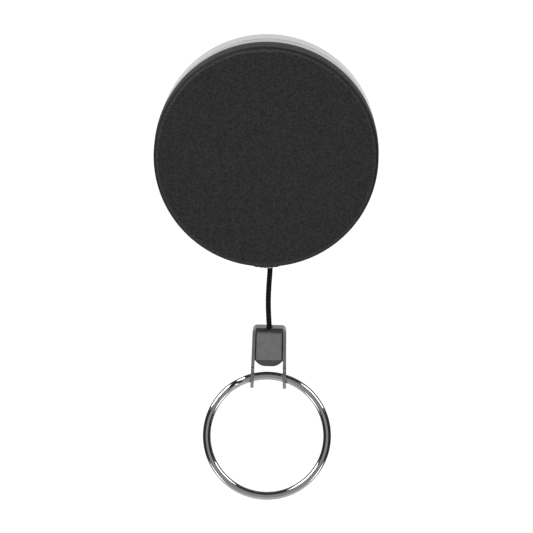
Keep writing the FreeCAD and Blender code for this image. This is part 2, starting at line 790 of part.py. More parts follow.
def rounded_path(points):
    """Straight runs joined by tangent arcs, with the radius and the turn of each arc."""
    edges = []
    bends = []
    start = points[0]
    for before, corner, after in zip(points, points[1:], points[2:]):
        back = before - corner
        ahead = after - corner
        turn = math.pi - back.getAngle(ahead)
        reach = 0.45 * min(back.Length, ahead.Length)
        radius = reach / math.tan(turn / 2)
        bends.append((radius, turn))
        arc_start = corner + back.normalize() * reach
        arc_end = corner + ahead.normalize() * reach
        inward = (back + ahead).normalize()
        middle = corner + inward * (math.hypot(radius, reach) - radius)
        edges.append(Part.LineSegment(start, arc_start).toShape())
        edges.append(Part.Arc(arc_start, middle, arc_end).toShape())
        start = arc_end
    edges.append(Part.LineSegment(start, points[-1]).toShape())
    return Part.Wire(edges), bends


def make_cord_run():
    """The stretch of cord from the spool, through the nozzle, to the knot in the bracket."""
    radius = dim.cord_radius.number
    points = [FreeCAD.Vector(across, 0, up) for across, up in CORD_ROUTE]
    path, bends = rounded_path(points)
    section = Part.Wire(Part.Circle(points[0], points[1] - points[0], radius).toShape())
    tube = path.makePipeShell([section], True, False)
    for bend, turn in bends:
        print(f"cord arc: radius {bend:.2f} mm, turn {math.degrees(turn):.1f} degrees")
    expected = math.pi * radius ** 2 * path.Length
    print(f"cord run: {path.Length:.2f} mm, volume {tube.Volume:.3f}, section x length {expected:.3f}")
    if not math.isclose(tube.Volume, expected, rel_tol=0.01):
        raise RuntimeError("the cord's tube has the wrong volume")
    plain_part("cord_run", tube, FreeCAD.Vector(0, cord_y.number, 0))


def make_cord_winding():
    """The wound cord as one ring that fills its place on the barrel."""
    half = dim.groove_width * 0.5 - 0.1
    turned_body("cord_winding", [
        (dim.barrel_radius + 0.02, dim.cord_depth - half),
        (dim.winding_radius, dim.cord_depth - half),
        (dim.winding_radius, dim.cord_depth + half),
        (dim.barrel_radius + 0.02, dim.cord_depth + half),
    ])


def make_cord_anchor_knot():
    """Knot behind the rear flange, with the short piece of cord that passes the flange."""
    knot = new_body("cord_anchor_knot")
    face = dim.cord_depth + dim.groove_width * 0.5
    back = face + dim.flange_thickness
    turn = math.radians(KNOT_ANGLE)
    across = KNOT_CIRCLE * math.cos(turn)
    stem = new_sketch(knot, "across_up", "knot_stem", -(face - 0.08))
    add_circle(stem, dim.cord_radius, across, KNOT_CIRCLE * math.sin(turn))
    extruded(knot, stem, "Pad", dim.flange_thickness + 0.5, backwards=True)
    ball = new_sketch(knot, "across_up", "knot_ball", -(back + 0.02))
    add_circle(ball, 1.0, across, KNOT_CIRCLE * math.sin(turn))
    extruded(knot, ball, "Pad", 1.5, backwards=True)

    def ball_edge(edge):
        return isinstance(edge.Curve, Part.Circle) and edge.Curve.Radius > 0.9
    dressed(knot, "Fillet", 0.45, ball_edge)


def make_cord_end_knot():
    """Knot under the bracket's roof that holds the bracket on the cord."""
    knot = new_body("cord_end_knot", dim.hang_across, cord_y, dim.hang_height, dim.hang_lean)
    profile = new_sketch(knot, "across_up", "end_knot_profile")
    top = -0.42
    add_outline(profile, [(0, top), (1.15, top), (1.15, top - 2.1), (0, top - 2.1)])
    turned(knot, profile)

    def rim(edge):
        return isinstance(edge.Curve, Part.Circle)
    dressed(knot, "Fillet", 0.6, rim)


# ---------------------------------------------------------------- bracket and ring

def make_ring_bracket():
    """Folded sheet bracket: a roof, two legs with ear holes, a front plate and a back plate."""
    bracket = new_body("ring_bracket", dim.hang_across, cord_y, dim.hang_height, dim.hang_lean)
    half_sheet = dim.bracket_sheet * 0.5
    outer = dim.bracket_half_width
    inner = outer - dim.bracket_sheet
    foot_outer = outer + dim.leg_splay
    foot_inner = inner + dim.leg_splay
    foot = -dim.leg_length
    depth = dim.bracket_half_depth

    hoop = new_sketch(bracket, "across_up", "roof_and_legs")
    add_outline(hoop, [
        (-foot_outer, foot),
        (-outer, half_sheet),
        (outer, half_sheet),
        (foot_outer, foot),
        (foot_inner, foot),
        (inner, -half_sheet),
        (-inner, -half_sheet),
        (-foot_inner, foot),
    ])
    extruded(bracket, hoop, "Pad", depth * 2, both_ways=True)
    dressed(bracket, "Fillet", 0.9, any_of(
        straight_at("y", outer, half_sheet), straight_at("y", -outer, half_sheet)))
    dressed(bracket, "Fillet", 0.3, any_of(
        straight_at("y", inner, -half_sheet), straight_at("y", -inner, -half_sheet)))

    necks = new_sketch(bracket, "depth_up", "leg_necks")
    neck_radius = 2.1
    neck_height = 7.2
    for side in (-1, 1):
        add_circle(necks, neck_radius, (depth + 1.7) * side, -neck_height)
    extruded(bracket, necks, "Pocket", 9.0, both_ways=True)
    shafts = new_sketch(bracket, "depth_up", "leg_shafts")
    for side in (-1, 1):
        add_outline(shafts, [
            (dim.leg_half_depth * side, -half_sheet),
            ((depth + 0.1) * side, -half_sheet),
            ((depth + 0.1) * side, -neck_height),
            (dim.leg_half_depth * side, -neck_height),
        ])
    extruded(bracket, shafts, "Pocket", 9.0, both_ways=True)

    def foot_corner(edge):
        ends = [vertex.Point for vertex in edge.Vertexes]
        flat = isinstance(edge.Curve, Part.Line)
        low = all(math.isclose(end.z, foot.number, abs_tol=TOUCH) for end in ends)
        side = all(math.isclose(abs(end.y), depth.number, abs_tol=TOUCH) for end in ends)
        across = flat and math.isclose(ends[0].y, ends[1].y, abs_tol=TOUCH)
        return across and low and side
    dressed(bracket, "Fillet", 1.9, foot_corner)
    ears = new_sketch(bracket, "depth_up", "ear_holes")
    add_circle(ears, dim.ear_hole, 0, -dim.ear_height)
    extruded(bracket, ears, "Pocket", 9.0, both_ways=True)

    corners = new_sketch(bracket, "across_depth", "front_corners", half_sheet)
    front_half = dim.front_plate_half
    for side in (-1, 1):
        add_outline(corners, [
            (front_half * side, -(depth + 0.1)),
            (front_half * side, -(depth - dim.fold_radius - 0.02)),
            ((front_half + 0.14) * side, -(depth - dim.fold_radius - 0.02)),
            ((front_half + 0.14) * side, -dim.leg_half_depth),
            ((outer + 0.1) * side, -dim.leg_half_depth),
            ((outer + 0.1) * side, -(depth + 0.1)),
        ])
    extruded(bracket, corners, "Pocket", 0.95)

    front = new_sketch(bracket, "across_up", "front_plate", depth)
    add_outline(front, [
        (-front_half, half_sheet),
        (front_half, half_sheet),
        (front_half, -dim.front_plate_length),
        (-front_half, -dim.front_plate_length),
    ])
    extruded(bracket, front, "Pad", dim.bracket_sheet, backwards=True)
    back = new_sketch(bracket, "across_up", "back_plate", -depth)
    back_half = dim.back_plate_half
    back_end = -dim.back_plate_length
    taper = 1.45
    add_outline(back, [
        (-back_half, -half_sheet),
        (back_half, -half_sheet),
        (back_half, back_end + taper),
        (back_half - taper, back_end),
        (-back_half + taper, back_end),
        (-back_half, back_end + taper),
    ])
    extruded(bracket, back, "Pad", dim.bracket_sheet)
    dressed(bracket, "Fillet", 2.2, any_of(
        straight_at("y", back_half - taper, back_end),
        straight_at("y", -back_half + taper, back_end)))
    dressed(bracket, "Fillet", dim.fold_radius, straight_at("x", -depth, half_sheet))
    dressed(bracket, "Fillet", dim.fold_radius - dim.bracket_sheet, straight_at(
        "x", -depth + dim.bracket_sheet, -half_sheet))
    dressed(bracket, "Chamfer", 0.08, straight_at("x", -depth, -dim.front_plate_length))
    hole = new_sketch(bracket, "across_depth", "cord_hole_in_roof")
    add_circle(hole, 0.72)
    extruded(bracket, hole, "Pocket", 1.2, both_ways=True)


RING_JOG = (112.0, 132.0)


def ring_section(angle, shift):
    """The wire's oval section at an angle round the ring, shifted along the ring's axis."""
    centre_radius = dim.ring_outside.number - dim.wire_radial.number / 2
    turn = math.radians(angle)
    outward = FreeCAD.Vector(math.cos(turn), 0, math.sin(turn))
    centre = outward * centre_radius + FreeCAD.Vector(0, shift, 0)
    tall = centre + outward * (dim.wire_radial.number / 2)
    side = centre + FreeCAD.Vector(0, dim.wire_axial.number / 2, 0)
    return Part.Wire(Part.Ellipse(tall, side, centre).toShape())


def make_split_ring():
    """Split ring: one oval wire of two flat coils, which a short jog joins at the upper left."""
    start, end = RING_JOG
    offset = dim.coil_pitch.number / 2
    axis = FreeCAD.Vector(0, 1, 0)
    sweep = 360 - (end - start)
    front_face = Part.Face(ring_section(start, -offset))
    back_face = Part.Face(ring_section(end, offset))
    front_coil = front_face.revolve(FreeCAD.Vector(), axis, sweep)
    back_coil = back_face.revolve(FreeCAD.Vector(), axis, -sweep)
    steps = 8
    sections = []
    for number in range(steps + 1):
        share = number / steps
        eased = (1 - math.cos(math.pi * share)) / 2
        sections.append(ring_section(start + (end - start) * share, offset * (2 * eased - 1)))
    jog = Part.makeLoft(sections, True)
    wire = front_coil.fuse([jog, back_coil]).removeSplitter()
    held_at = FreeCAD.Vector(0, 0, dim.ring_hold.number)
    wire.rotate(held_at, FreeCAD.Vector(1, 0, 0), -dim.ring_tilt.number)
    lean = dim.hang_lean.number
    drop = dim.ring_drop.number
    turn = math.radians(lean)
    base = FreeCAD.Vector(
        dim.hang_across.number - drop * math.sin(turn),
        cord_y.number,
        dim.hang_height.number - drop * math.cos(turn),
    )
    plain_part("split_ring", wire, base, lean)


def check_and_write():
    """Stop if anything failed, then write each sub-part to its own file."""
    doc.recompute()
    for thing in doc.Objects:
        if "Invalid" in thing.State or "Error" in thing.State:
            raise RuntimeError(f"{thing.Name} failed: {thing.State}")
    os.makedirs("parts", exist_ok=True)
    for piece in pieces:
        shape = piece.Shape
        if shape.isNull() or not shape.isValid() or not shape.Solids:
            raise RuntimeError(f"{piece.Label} has no valid solid")
        shape.exportStep(f"parts/{piece.Label}.step")
        print(f"{piece.Label}: {len(shape.Solids)} solid, {shape.Volume:.1f} mm3")


make_front_cap()
make_rear_shell()
make_cord_nozzle()
make_nozzle_eyelet()
make_centre_post()
make_washers()
make_retaining_clip()
make_clip_rivets()
make_belt_clip_base()
make_belt_clip_tongue()
make_spool_drum()
make_rear_flange()
make_flange_screws()
make_mainspring()
make_cord_run()
make_cord_winding()
make_cord_anchor_knot()
make_cord_end_knot()
make_ring_bracket()
make_split_ring()
check_and_write()
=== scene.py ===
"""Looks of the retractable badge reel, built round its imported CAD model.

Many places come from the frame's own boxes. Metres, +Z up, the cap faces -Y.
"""

import math

import bpy
from mathutils import Matrix, Vector


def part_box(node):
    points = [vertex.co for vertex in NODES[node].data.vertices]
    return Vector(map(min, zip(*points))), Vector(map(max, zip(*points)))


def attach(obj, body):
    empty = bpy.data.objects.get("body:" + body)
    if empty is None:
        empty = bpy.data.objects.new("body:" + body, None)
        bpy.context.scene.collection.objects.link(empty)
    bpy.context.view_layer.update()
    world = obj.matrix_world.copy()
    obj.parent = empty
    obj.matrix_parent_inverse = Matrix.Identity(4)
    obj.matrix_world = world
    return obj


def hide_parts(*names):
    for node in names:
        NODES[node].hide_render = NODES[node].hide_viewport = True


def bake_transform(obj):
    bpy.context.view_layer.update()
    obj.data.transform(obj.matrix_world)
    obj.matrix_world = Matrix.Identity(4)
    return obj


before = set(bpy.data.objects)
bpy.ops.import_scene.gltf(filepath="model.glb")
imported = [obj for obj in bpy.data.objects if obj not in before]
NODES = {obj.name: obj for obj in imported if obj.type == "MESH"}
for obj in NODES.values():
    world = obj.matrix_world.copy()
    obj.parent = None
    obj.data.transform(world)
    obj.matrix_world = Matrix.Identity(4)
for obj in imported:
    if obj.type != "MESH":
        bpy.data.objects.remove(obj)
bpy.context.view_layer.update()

MM = 0.001

# ---------------------------------------------------------------- places, read from the frame

cap_low, cap_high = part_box("front_cap")
case_front = cap_low.y
shell_front = cap_high.y
clip_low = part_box("belt_clip_tongue")[0]
base_low, base_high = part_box("belt_clip_base")
run_low, run_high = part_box("cord_run")
cord_y = (run_low.y + run_high.y) / 2
cord_radius = (run_high.y - run_low.y) / 2
winding_low, winding_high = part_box("cord_winding")

# ---------------------------------------------------------------- camera

FRAME_WIDTH = 99.85 * MM
CAMERA_DISTANCE = 2.5
CAMERA_ELEVATION = math.radians(12.0)
CAMERA_AZIMUTH = math.radians(0.8)
CAMERA_TARGET = Vector((-0.02 * MM, case_front + 8.1 * MM, -22.47 * MM))
SENSOR_WIDTH = 36.0


def make_camera():
    """A long lens in front of the case, a little above it."""
    data = bpy.data.cameras.new("camera")
    data.sensor_width = SENSOR_WIDTH
    data.lens = SENSOR_WIDTH * CAMERA_DISTANCE / FRAME_WIDTH
    data.clip_end = 20.0
    camera = bpy.data.objects.new("camera", data)
    bpy.context.scene.collection.objects.link(camera)
    back = Vector((
        math.sin(CAMERA_AZIMUTH) * math.cos(CAMERA_ELEVATION),
        -math.cos(CAMERA_AZIMUTH) * math.cos(CAMERA_ELEVATION),
        math.sin(CAMERA_ELEVATION),
    ))
    camera.location = CAMERA_TARGET + back * CAMERA_DISTANCE
    camera.rotation_mode = "QUATERNION"
    camera.rotation_quaternion = (-back).to_track_quat("-Z", "Y")
    bpy.context.scene.camera = camera


make_camera()


# ---------------------------------------------------------------- node helpers

class Tree:
    """A node tree, with short calls to add nodes and to link them."""

    def __init__(self, node_tree):
        self.nodes = node_tree.nodes
        self.links = node_tree.links

    def add(self, kind, **settings):
        """A new node with these settings."""
        node = self.nodes.new(kind)
        for key, value in settings.items():
            setattr(node, key, value)
        return node

    def link(self, source, target):
        self.links.new(source, target)

    def part_of(self, vector, letter):
        """One coordinate of a vector."""
        split = self.add("ShaderNodeSeparateXYZ")
        self.link(vector, split.inputs[0])
        return split.outputs[letter]

    def math(self, kind, first, second=0.0):
        """The result for one or two values, each a number or another node's output."""
        node = self.add("ShaderNodeMath", operation=kind)
        for slot, value in zip(node.inputs, (first, second)):
            if isinstance(value, float):
                slot.default_value = value
            else:
                self.link(value, slot)
        return node.outputs["Value"]

    def remap(self, source, low, high, to_low, to_high, interpolation="LINEAR"):
        """The source's range from low to high, stretched to the range from to_low to to_high."""
        node = self.add("ShaderNodeMapRange", interpolation_type=interpolation)
        ends = {"From Min": low, "From Max": high, "To Min": to_low, "To Max": to_high}
        for socket, value in ends.items():
            node.inputs[socket].default_value = value
        self.link(source, node.inputs["Value"])
        return node.outputs["Result"]


class Graph(Tree):
    """A material's node tree round its one shader."""

    def __init__(self, name):
        self.material = bpy.data.materials.new(name)
        self.material.use_nodes = True
        super().__init__(self.material.node_tree)
        self.shader = self.nodes["Principled BSDF"]

    def set(self, socket, value):
        """Give one of the shader's sockets a constant."""
        self.shader.inputs[socket].default_value = value

    def place(self):
        """Where a point lies on the object, in metres."""
        return self.add("ShaderNodeTexCoord").outputs["Object"]

    def facing(self, letter):
        """One coordinate of the surface's normal, in the object's own axes."""
        return self.part_of(self.add("ShaderNodeTexCoord").outputs["Normal"], letter)

    def stretched(self, scale):
        """The point's place, scaled differently along each axis."""
        mapping = self.add("ShaderNodeMapping")
        mapping.inputs["Scale"].default_value = scale
        self.link(self.place(), mapping.inputs["Vector"])
        return mapping.outputs["Vector"]

    def noise(self, scale, detail=2.0, roughness=0.5, vector=None):
        """Cloudy noise with this many blobs to the metre."""
        node = self.add("ShaderNodeTexNoise")
        node.inputs["Scale"].default_value = scale
        node.inputs["Detail"].default_value = detail
        node.inputs["Roughness"].default_value = roughness
        self.link(vector or self.place(), node.inputs["Vector"])
        return node.outputs["Fac"]

    def blend_colours(self, share, first, second):
        """The base colour, between two colours by a share from 0 to 1."""
        node = self.add("ShaderNodeMix", data_type="RGBA")
        self.link(share, node.inputs["Factor"])
        node.inputs[6].default_value = (*first, 1.0)
        node.inputs[7].default_value = (*second, 1.0)
        self.link(node.outputs[2], self.shader.inputs["Base Color"])

    def shade_crevices(self, distance, darkest):
        """Painted shade: darken the base colour where faces close together hide a point."""
        hidden = self.add("ShaderNodeAmbientOcclusion", samples=8)
        hidden.inputs["Distance"].default_value = distance
        self.tint(self.remap(hidden.outputs["AO"], 0.3, 0.8, darkest, 1.0))

    def shade_upward(self, darkest):
        """Painted shade: darken the base colour on faces that look along the object's +Z."""
        self.tint(self.remap(self.facing("Z"), 0.6, 0.95, 1.0, darkest))

    def tint(self, amount):
        """Multiply the base colour by a value."""
        tone = self.shader.inputs["Base Color"].links[0].from_socket
        mix = self.add("ShaderNodeMix", data_type="RGBA", blend_type="MULTIPLY")
        mix.inputs["Factor"].default_value = 1.0
        self.link(tone, mix.inputs[6])
        self.link(amount, mix.inputs[7])
        self.link(mix.outputs[2], self.shader.inputs["Base Color"])

    def rough(self, source, low, high):
        """Roughness that follows a 0-to-1 pattern from low to high."""
        self.link(self.remap(source, 0.25, 0.75, low, high), self.shader.inputs["Roughness"])

    def bump(self, height, distance, strength, below=None):
        """The normal of a relief of this height, over another relief if one is given."""
        node = self.add("ShaderNodeBump")
        node.inputs["Distance"].default_value = distance
        node.inputs["Strength"].default_value = strength
        self.link(height, node.inputs["Height"])
        if below is not None:
            self.link(below, node.inputs["Normal"])
        return node.outputs["Normal"]

    def finish(self, normal):
        """Use this normal and hand over the material."""
        self.link(normal, self.shader.inputs["Normal"])
        return self.material


# ---------------------------------------------------------------- materials

def textured_black():
    """Fine-grained matte black moulding, as on the cap, with painted light and shade on its rounded
    rim and its skirt.
    """
    graph = Graph("textured_black")
    grain = graph.noise(4200.0, detail=3.0, roughness=0.6)
    specks = graph.noise(8000.0, detail=1.0)
    graph.blend_colours(graph.remap(grain, 0.42, 0.58, 0, 1), (0.0075, 0.0075, 0.0077),
                        (0.0375, 0.0375, 0.038))
    forward = graph.math("MULTIPLY", graph.facing("Y"), -1.0)
    # Painted highlight where the face's edge starts to round over.
    painted_edge_highlight = graph.remap(forward, 0.999, 0.96, 1.0, 2.0)
    # Painted shade: a dark line further round the edge.
    painted_edge_shade = graph.remap(forward, 0.9, 0.8, 1.0, 0.3)
    # Painted light on the skirt, all round the cap.
    painted_skirt_light = graph.remap(forward, 0.5, 0.3, 1.0, 3.4)
    graph.tint(graph.math("MULTIPLY", graph.math("MULTIPLY", painted_edge_highlight, painted_edge_shade), painted_skirt_light))
    graph.rough(grain, 0.62, 0.5)
    graph.set("Specular IOR Level", 0.45)
    coarse = graph.bump(grain, 0.13 * MM, 1.0)
    return graph.finish(graph.bump(specks, 0.02 * MM, 0.5, coarse))


def chromed_shell():
    """Bright plated shell, a little darker and softer in the band next to the cap."""
    graph = Graph("chromed_shell")
    depth = graph.part_of(graph.place(), "Y")
    line = shell_front + 5.2 * MM
    band = graph.remap(depth, line - 0.1 * MM, line + 0.1 * MM, 0, 1)
    graph.blend_colours(band, (0.46, 0.46, 0.465), (0.645, 0.645, 0.65))
    fine = graph.noise(900.0, detail=2.0, vector=graph.stretched((0.6, 6.0, 0.6)))
    groove = line + 0.15 * MM
    from_groove = graph.math("ABSOLUTE", graph.math("SUBTRACT", depth, groove))
    edge = (0.17 * MM, 0.21 * MM)
    dull = graph.remap(from_groove, *edge, 0.6, 0.0)
    polish = graph.remap(fine, 0.25, 0.75, 0.1, 0.2)
    graph.link(graph.math("MAXIMUM", polish, dull), graph.shader.inputs["Roughness"])
    graph.link(graph.remap(from_groove, *edge, 0.3, 1.0), graph.shader.inputs["Metallic"])
    return graph.finish(graph.bump(fine, 0.004 * MM, 0.2))


def plated(name, colour, dark, rough_low, rough_high, relief=0.004 * MM):
    """Plated metal with faint cloudiness and fine handling marks."""
    graph = Graph(name)
    graph.set("Metallic", 1.0)
    clouds = graph.noise(260.0, detail=3.0)
    marks = graph.noise(1500.0, detail=4.0, roughness=0.65, vector=graph.stretched((1, 1, 0.18)))
    graph.blend_colours(graph.remap(clouds, 0.3, 0.7, 0, 1), colour, dark)
    graph.rough(marks, rough_low, rough_high)
    return graph.finish(graph.bump(marks, relief, 0.35))


def moulded(name, colour, lighter, rough_low, rough_high):
    """Plain injection moulding with a faint orange-peel surface."""
    graph = Graph(name)
    peel = graph.noise(1400.0, detail=2.0)
    clouds = graph.noise(180.0, detail=2.0)
    graph.blend_colours(graph.remap(clouds, 0.3, 0.7, 0, 1), colour, lighter)
    graph.rough(peel, rough_low, rough_high)
    return graph.finish(graph.bump(peel, 0.006 * MM, 0.3))


def braided_cord():
    """Black braided nylon: fine filaments on the strands that the mesh already has."""
    graph = Graph("braided_cord")
    filaments = graph.noise(9000.0, detail=2.0, vector=graph.stretched((1.0, 1.0, 0.35)))
    graph.blend_colours(graph.remap(filaments, 0.35, 0.65, 0, 1), (0.004, 0.004, 0.0042),
                        (0.016, 0.016, 0.0165))
    graph.rough(filaments, 0.45, 0.7)
    graph.set("Specular IOR Level", 0.2)
    return graph.finish(graph.bump(filaments, 0.012 * MM, 0.5))


def satin_bracket():
    """Satin nickel sheet with a soft vertical grain, with painted shade on its roof and in its
    folds.
    """
    graph = Graph("satin_bracket")
    graph.set("Metallic", 1.0)
    grain = graph.noise(2600.0, detail=3.0, roughness=0.6, vector=graph.stretched((1.0, 1.0, 0.25)))
    clouds = graph.noise(700.0, detail=2.0)
    graph.blend_colours(graph.remap(clouds, 0.3, 0.7, 0, 1), (0.37, 0.365, 0.37),
                        (0.45, 0.445, 0.45))
    # Painted shade in the folds.
    graph.shade_crevices(4.5 * MM, 0.25)
    # Painted shade on the roof, the faces that look up.
    graph.shade_upward(0.42)
    graph.rough(grain, 0.26, 0.38)
    return graph.finish(graph.bump(grain, 0.005 * MM, 0.35))


MATERIALS = {
    "front_cap": textured_black(),
    "rear_shell": chromed_shell(),
    "black_acetal": moulded("black_acetal", (0.013, 0.013, 0.013), (0.02, 0.02, 0.02), 0.3, 0.42),
    "nickel": plated("nickel", (0.58, 0.57, 0.55), (0.5, 0.49, 0.47), 0.14, 0.26),
    "turned_steel": plated("turned_steel", (0.5, 0.5, 0.51), (0.42, 0.42, 0.43), 0.25, 0.38),
    "spring_steel": plated("spring_steel", (0.16, 0.18, 0.22), (0.24, 0.25, 0.28), 0.22, 0.36),
    "clip_steel": plated("clip_steel", (0.64, 0.64, 0.65), (0.55, 0.55, 0.56), 0.13, 0.24),
    "ring": plated("ring", (0.66, 0.65, 0.64), (0.58, 0.57, 0.56), 0.06, 0.13,
                   relief=0.0008 * MM),
    "bracket": satin_bracket(),
    "cord": braided_cord(),
    "washer": moulded("washer", (0.62, 0.6, 0.54), (0.68, 0.66, 0.6), 0.35, 0.5),
    "spool": moulded("spool", (0.05, 0.05, 0.053), (0.065, 0.065, 0.068), 0.35, 0.5),
}

CAD_LOOKS = {
    "front_cap": "front_cap",
    "rear_shell": "rear_shell",
    "cord_nozzle": "black_acetal",
    "nozzle_eyelet": "nickel",
    "centre_post": "turned_steel",
    "front_thrust_washer": "washer",
    "rear_thrust_washer": "washer",
    "retaining_clip": "spring_steel",
    "clip_rivets": "nickel",
    "spool_drum": "spool",
    "rear_flange": "spool",
    "flange_screws": "turned_steel",
    "mainspring": "spring_steel",
    "ring_bracket": "bracket",
    "split_ring": "ring",
}


def paint_cad_nodes():
    """Give every carried-over CAD node its material."""
    for node, look in CAD_LOOKS.items():
        for slot in NODES[node].material_slots:
            slot.link = "OBJECT"
            slot.material = MATERIALS[look]


paint_cad_nodes()


# ---------------------------------------------------------------- mesh helpers

def new_piece(name, points, faces, look):
    """A smooth-shaded mesh object with its material, in the scene's collection."""
    mesh = bpy.data.meshes.new(name)
    mesh.from_pydata(points, [], faces)
    mesh.validate()
    mesh.update()
    mesh.polygons.foreach_set("use_smooth", [True] * len(mesh.polygons))
    mesh.materials.append(MATERIALS[look])
    piece = bpy.data.objects.new(name, mesh)
    bpy.context.scene.collection.objects.link(piece)
    return piece


def smooth_line(points, per_span=24):
    """The points of a NURBS curve whose control points are given."""
    curve = bpy.data.curves.new("route", "CURVE")
    curve.dimensions = "3D"
    curve.resolution_u = per_span
    spline = curve.splines.new("NURBS")
    spline.points.add(len(points) - 1)
    for control, point in zip(spline.points, points):
        control.co = (*point, 1.0)
    spline.order_u = 3
    spline.use_endpoint_u = True
    carrier = bpy.data.objects.new("route", curve)
    line = bpy.data.meshes.new_from_object(carrier)
    path = [vertex.co.copy() for vertex in line.vertices]
    bpy.data.objects.remove(carrier)
    bpy.data.curves.remove(curve)
    bpy.data.meshes.remove(line)
    return path


def evenly(path, step):
    """The path's points again, at even distances of about the step."""
    total = sum((there - here).length for here, there in zip(path, path[1:]))
    count = max(2, round(total / step))
    spots = [path[0]]
    walked = 0.0
    target = total / count
    for here, there in zip(path, path[1:]):
        span = (there - here).length
        while walked + span >= target * len(spots) - 1e-12 and len(spots) < count:
            share = (target * len(spots) - walked) / span
            spots.append(here.lerp(there, share))
        walked += span
    spots.append(path[-1])
    return spots


BRAID_STRANDS = 8
BRAID_PITCH = 2.4 * MM
BRAID_RELIEF = 0.07


def braid_height(around, along):
    """Height from 0 to 1 of a braid's strands, which run both ways round the cord."""
    turn = 2 * math.pi * along / BRAID_PITCH
    right = abs(math.sin(BRAID_STRANDS / 4 * (around + turn)))
    left = abs(math.sin(BRAID_STRANDS / 4 * (around - turn)))
    return math.sqrt(right * left)


def braided_tube(name, path, radius, step, sides):
    """A closed tube along the path with the relief of a round braid."""
    spots = evenly(path, step)
    points = []
    faces = []
    tangent = (spots[1] - spots[0]).normalized()
    side = tangent.orthogonal().normalized()
    along = 0.0
    for number, spot in enumerate(spots):
        before = spots[max(number - 1, 0)]
        after = spots[min(number + 1, len(spots) - 1)]
        ahead = (after - before).normalized()
        side = tangent.rotation_difference(ahead) @ side
        side = (side - ahead * side.dot(ahead)).normalized()
        tangent = ahead
        other = ahead.cross(side)
        if number:
            along += (spot - before).length
        for n in range(sides):
            around = 2 * math.pi * n / sides
            reach = radius * (1 - BRAID_RELIEF + BRAID_RELIEF * braid_height(around, along))
            points.append(spot + (side * math.cos(around) + other * math.sin(around)) * reach)
    for ring in range(len(spots) - 1):
        for n in range(sides):
            first = ring * sides + n
            second = ring * sides + (n + 1) % sides
            faces.append((first, second, second + sides, first + sides))
    faces.append(tuple(reversed(range(sides))))
    last = (len(spots) - 1) * sides
    faces.append(tuple(range(last, last + sides)))
    return new_piece(name, points, faces, "cord")


# ---------------------------------------------------------------- cord

# The cord's free run as (across, up) in millimetres, as in the CAD model: round the wound cord,
# over to the nozzle, and down to the knot in the bracket.
CORD_ROUTE = [
    (14.20, -7.50),
    (12.30, -11.35),
    (6.90, -14.75),
    (0.66, -17.55),
    (0.73, -22.30),
    (0.33, -27.30),
    (0.30, -31.30),
    (0.54, -34.82),
]

KNOT_POINTS = 96
KNOT_STRAND = cord_radius * 0.92
KNOT_WEAVE = KNOT_STRAND * 0.75
KNOT_INSET = KNOT_STRAND * 0.85


def overhand_knot(size):
    """The closed loops of an overhand knot round the Z axis, pulled tight."""
    line = []
    for number in range(KNOT_POINTS):
        turn = 2 * math.pi * number / KNOT_POINTS
        line.append(Vector((
            size * (math.sin(turn) + 2 * math.sin(2 * turn)) / 3,
            size * (math.cos(turn) - 2 * math.cos(2 * turn)) / 3,
            -KNOT_WEAVE * math.sin(3 * turn),
        )))
    line.append(line[0].copy())
    return line


def make_knot(name, node, body, upright):
    """An overhand knot inside the box of its CAD stand-in, its axis upright or along Y."""
    low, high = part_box(node)
    extent = high - low
    across = min(extent.x, extent.y if upright else extent.z) / 2
    path = overhand_knot(across - KNOT_INSET)
    knot = braided_tube(name, path, KNOT_STRAND, step=0.09 * MM, sides=18)
    if not upright:
        knot.data.transform(Matrix.Rotation(math.pi / 2, 4, "X"))
    knot.data.transform(Matrix.Translation((low + high) / 2))
    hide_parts(node)
    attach(knot, body)
    return knot


def make_cord_run():
    """The cord from the wound turns through the nozzle to the knot, with its braid."""
    route = [Vector((across * MM, cord_y, up * MM)) for across, up in CORD_ROUTE]
    path = smooth_line(route)
    piece = braided_tube("cord_run_braid", path, cord_radius * 1.07, step=0.075 * MM, sides=28)
    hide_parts("cord_run")
    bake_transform(piece)
    return piece, path, route[0]


def eased(share):
    """A share from 0 to 1, with a gentle start and end."""
    return share * share * (3 - 2 * share)


# The wound cord in angles round the spool's axis: where it starts, how long its first layer is,
# how far it takes to climb to the second layer, and how long before the run it begins to leave.
WOUND_START = math.radians(100.0)
WHOLE_TURNS = 7
FIRST_LAYER = 2 * math.pi * 4.2
LAYER_RADII = (14.1 * MM, 14.97 * MM)
CLIMB = math.radians(40.0)
LEAVING = math.radians(110.0)
POINTS_PER_TURN = 16


def wound_route():
    """The wound cord's control points: from the flange's hole, two layers, up to the run."""
    end = math.atan2(CORD_ROUTE[0][1], CORD_ROUTE[0][0])
    total = WOUND_START - end + 2 * math.pi * WHOLE_TURNS
    inner, outer = LAYER_RADII
    top = math.hypot(*CORD_ROUTE[0]) * MM
    back_lane = winding_high.y - cord_radius
    front_lane = winding_low.y + cord_radius
    pitch = 2 * cord_radius * 1.005
    steps = round(total / (2 * math.pi) * POINTS_PER_TURN)
    points = []
    for number in range(steps + 1):
        turned = total * number / steps
        angle = WOUND_START - turned
        if turned < FIRST_LAYER:
            radius = inner
            along = back_lane + (front_lane - back_lane) * turned / FIRST_LAYER
        else:
            radius = inner + (outer - inner) * eased(min(1.0, (turned - FIRST_LAYER) / CLIMB))
            along = front_lane + max(0.0, turned - FIRST_LAYER - CLIMB) / (2 * math.pi) * pitch
        gone = 1 - (total - turned) / LEAVING
        if gone > 0:
            radius += (top - radius) * eased(min(1.0, gone / 0.6))
            along += (cord_y - along) * eased(max(0.0, (gone - 0.4) / 0.6))
        points.append(Vector((radius * math.cos(angle), along, radius * math.sin(angle))))
    return points


def make_cord_winding():
    """The wound cord, turn by turn, in two layers on the barrel."""
    path = smooth_line(wound_route(), per_span=6)
    piece = braided_tube("cord_winding_turns", path, cord_radius, step=0.3 * MM, sides=12)
    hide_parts("cord_winding")
    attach(piece, "spool")
    return piece, path


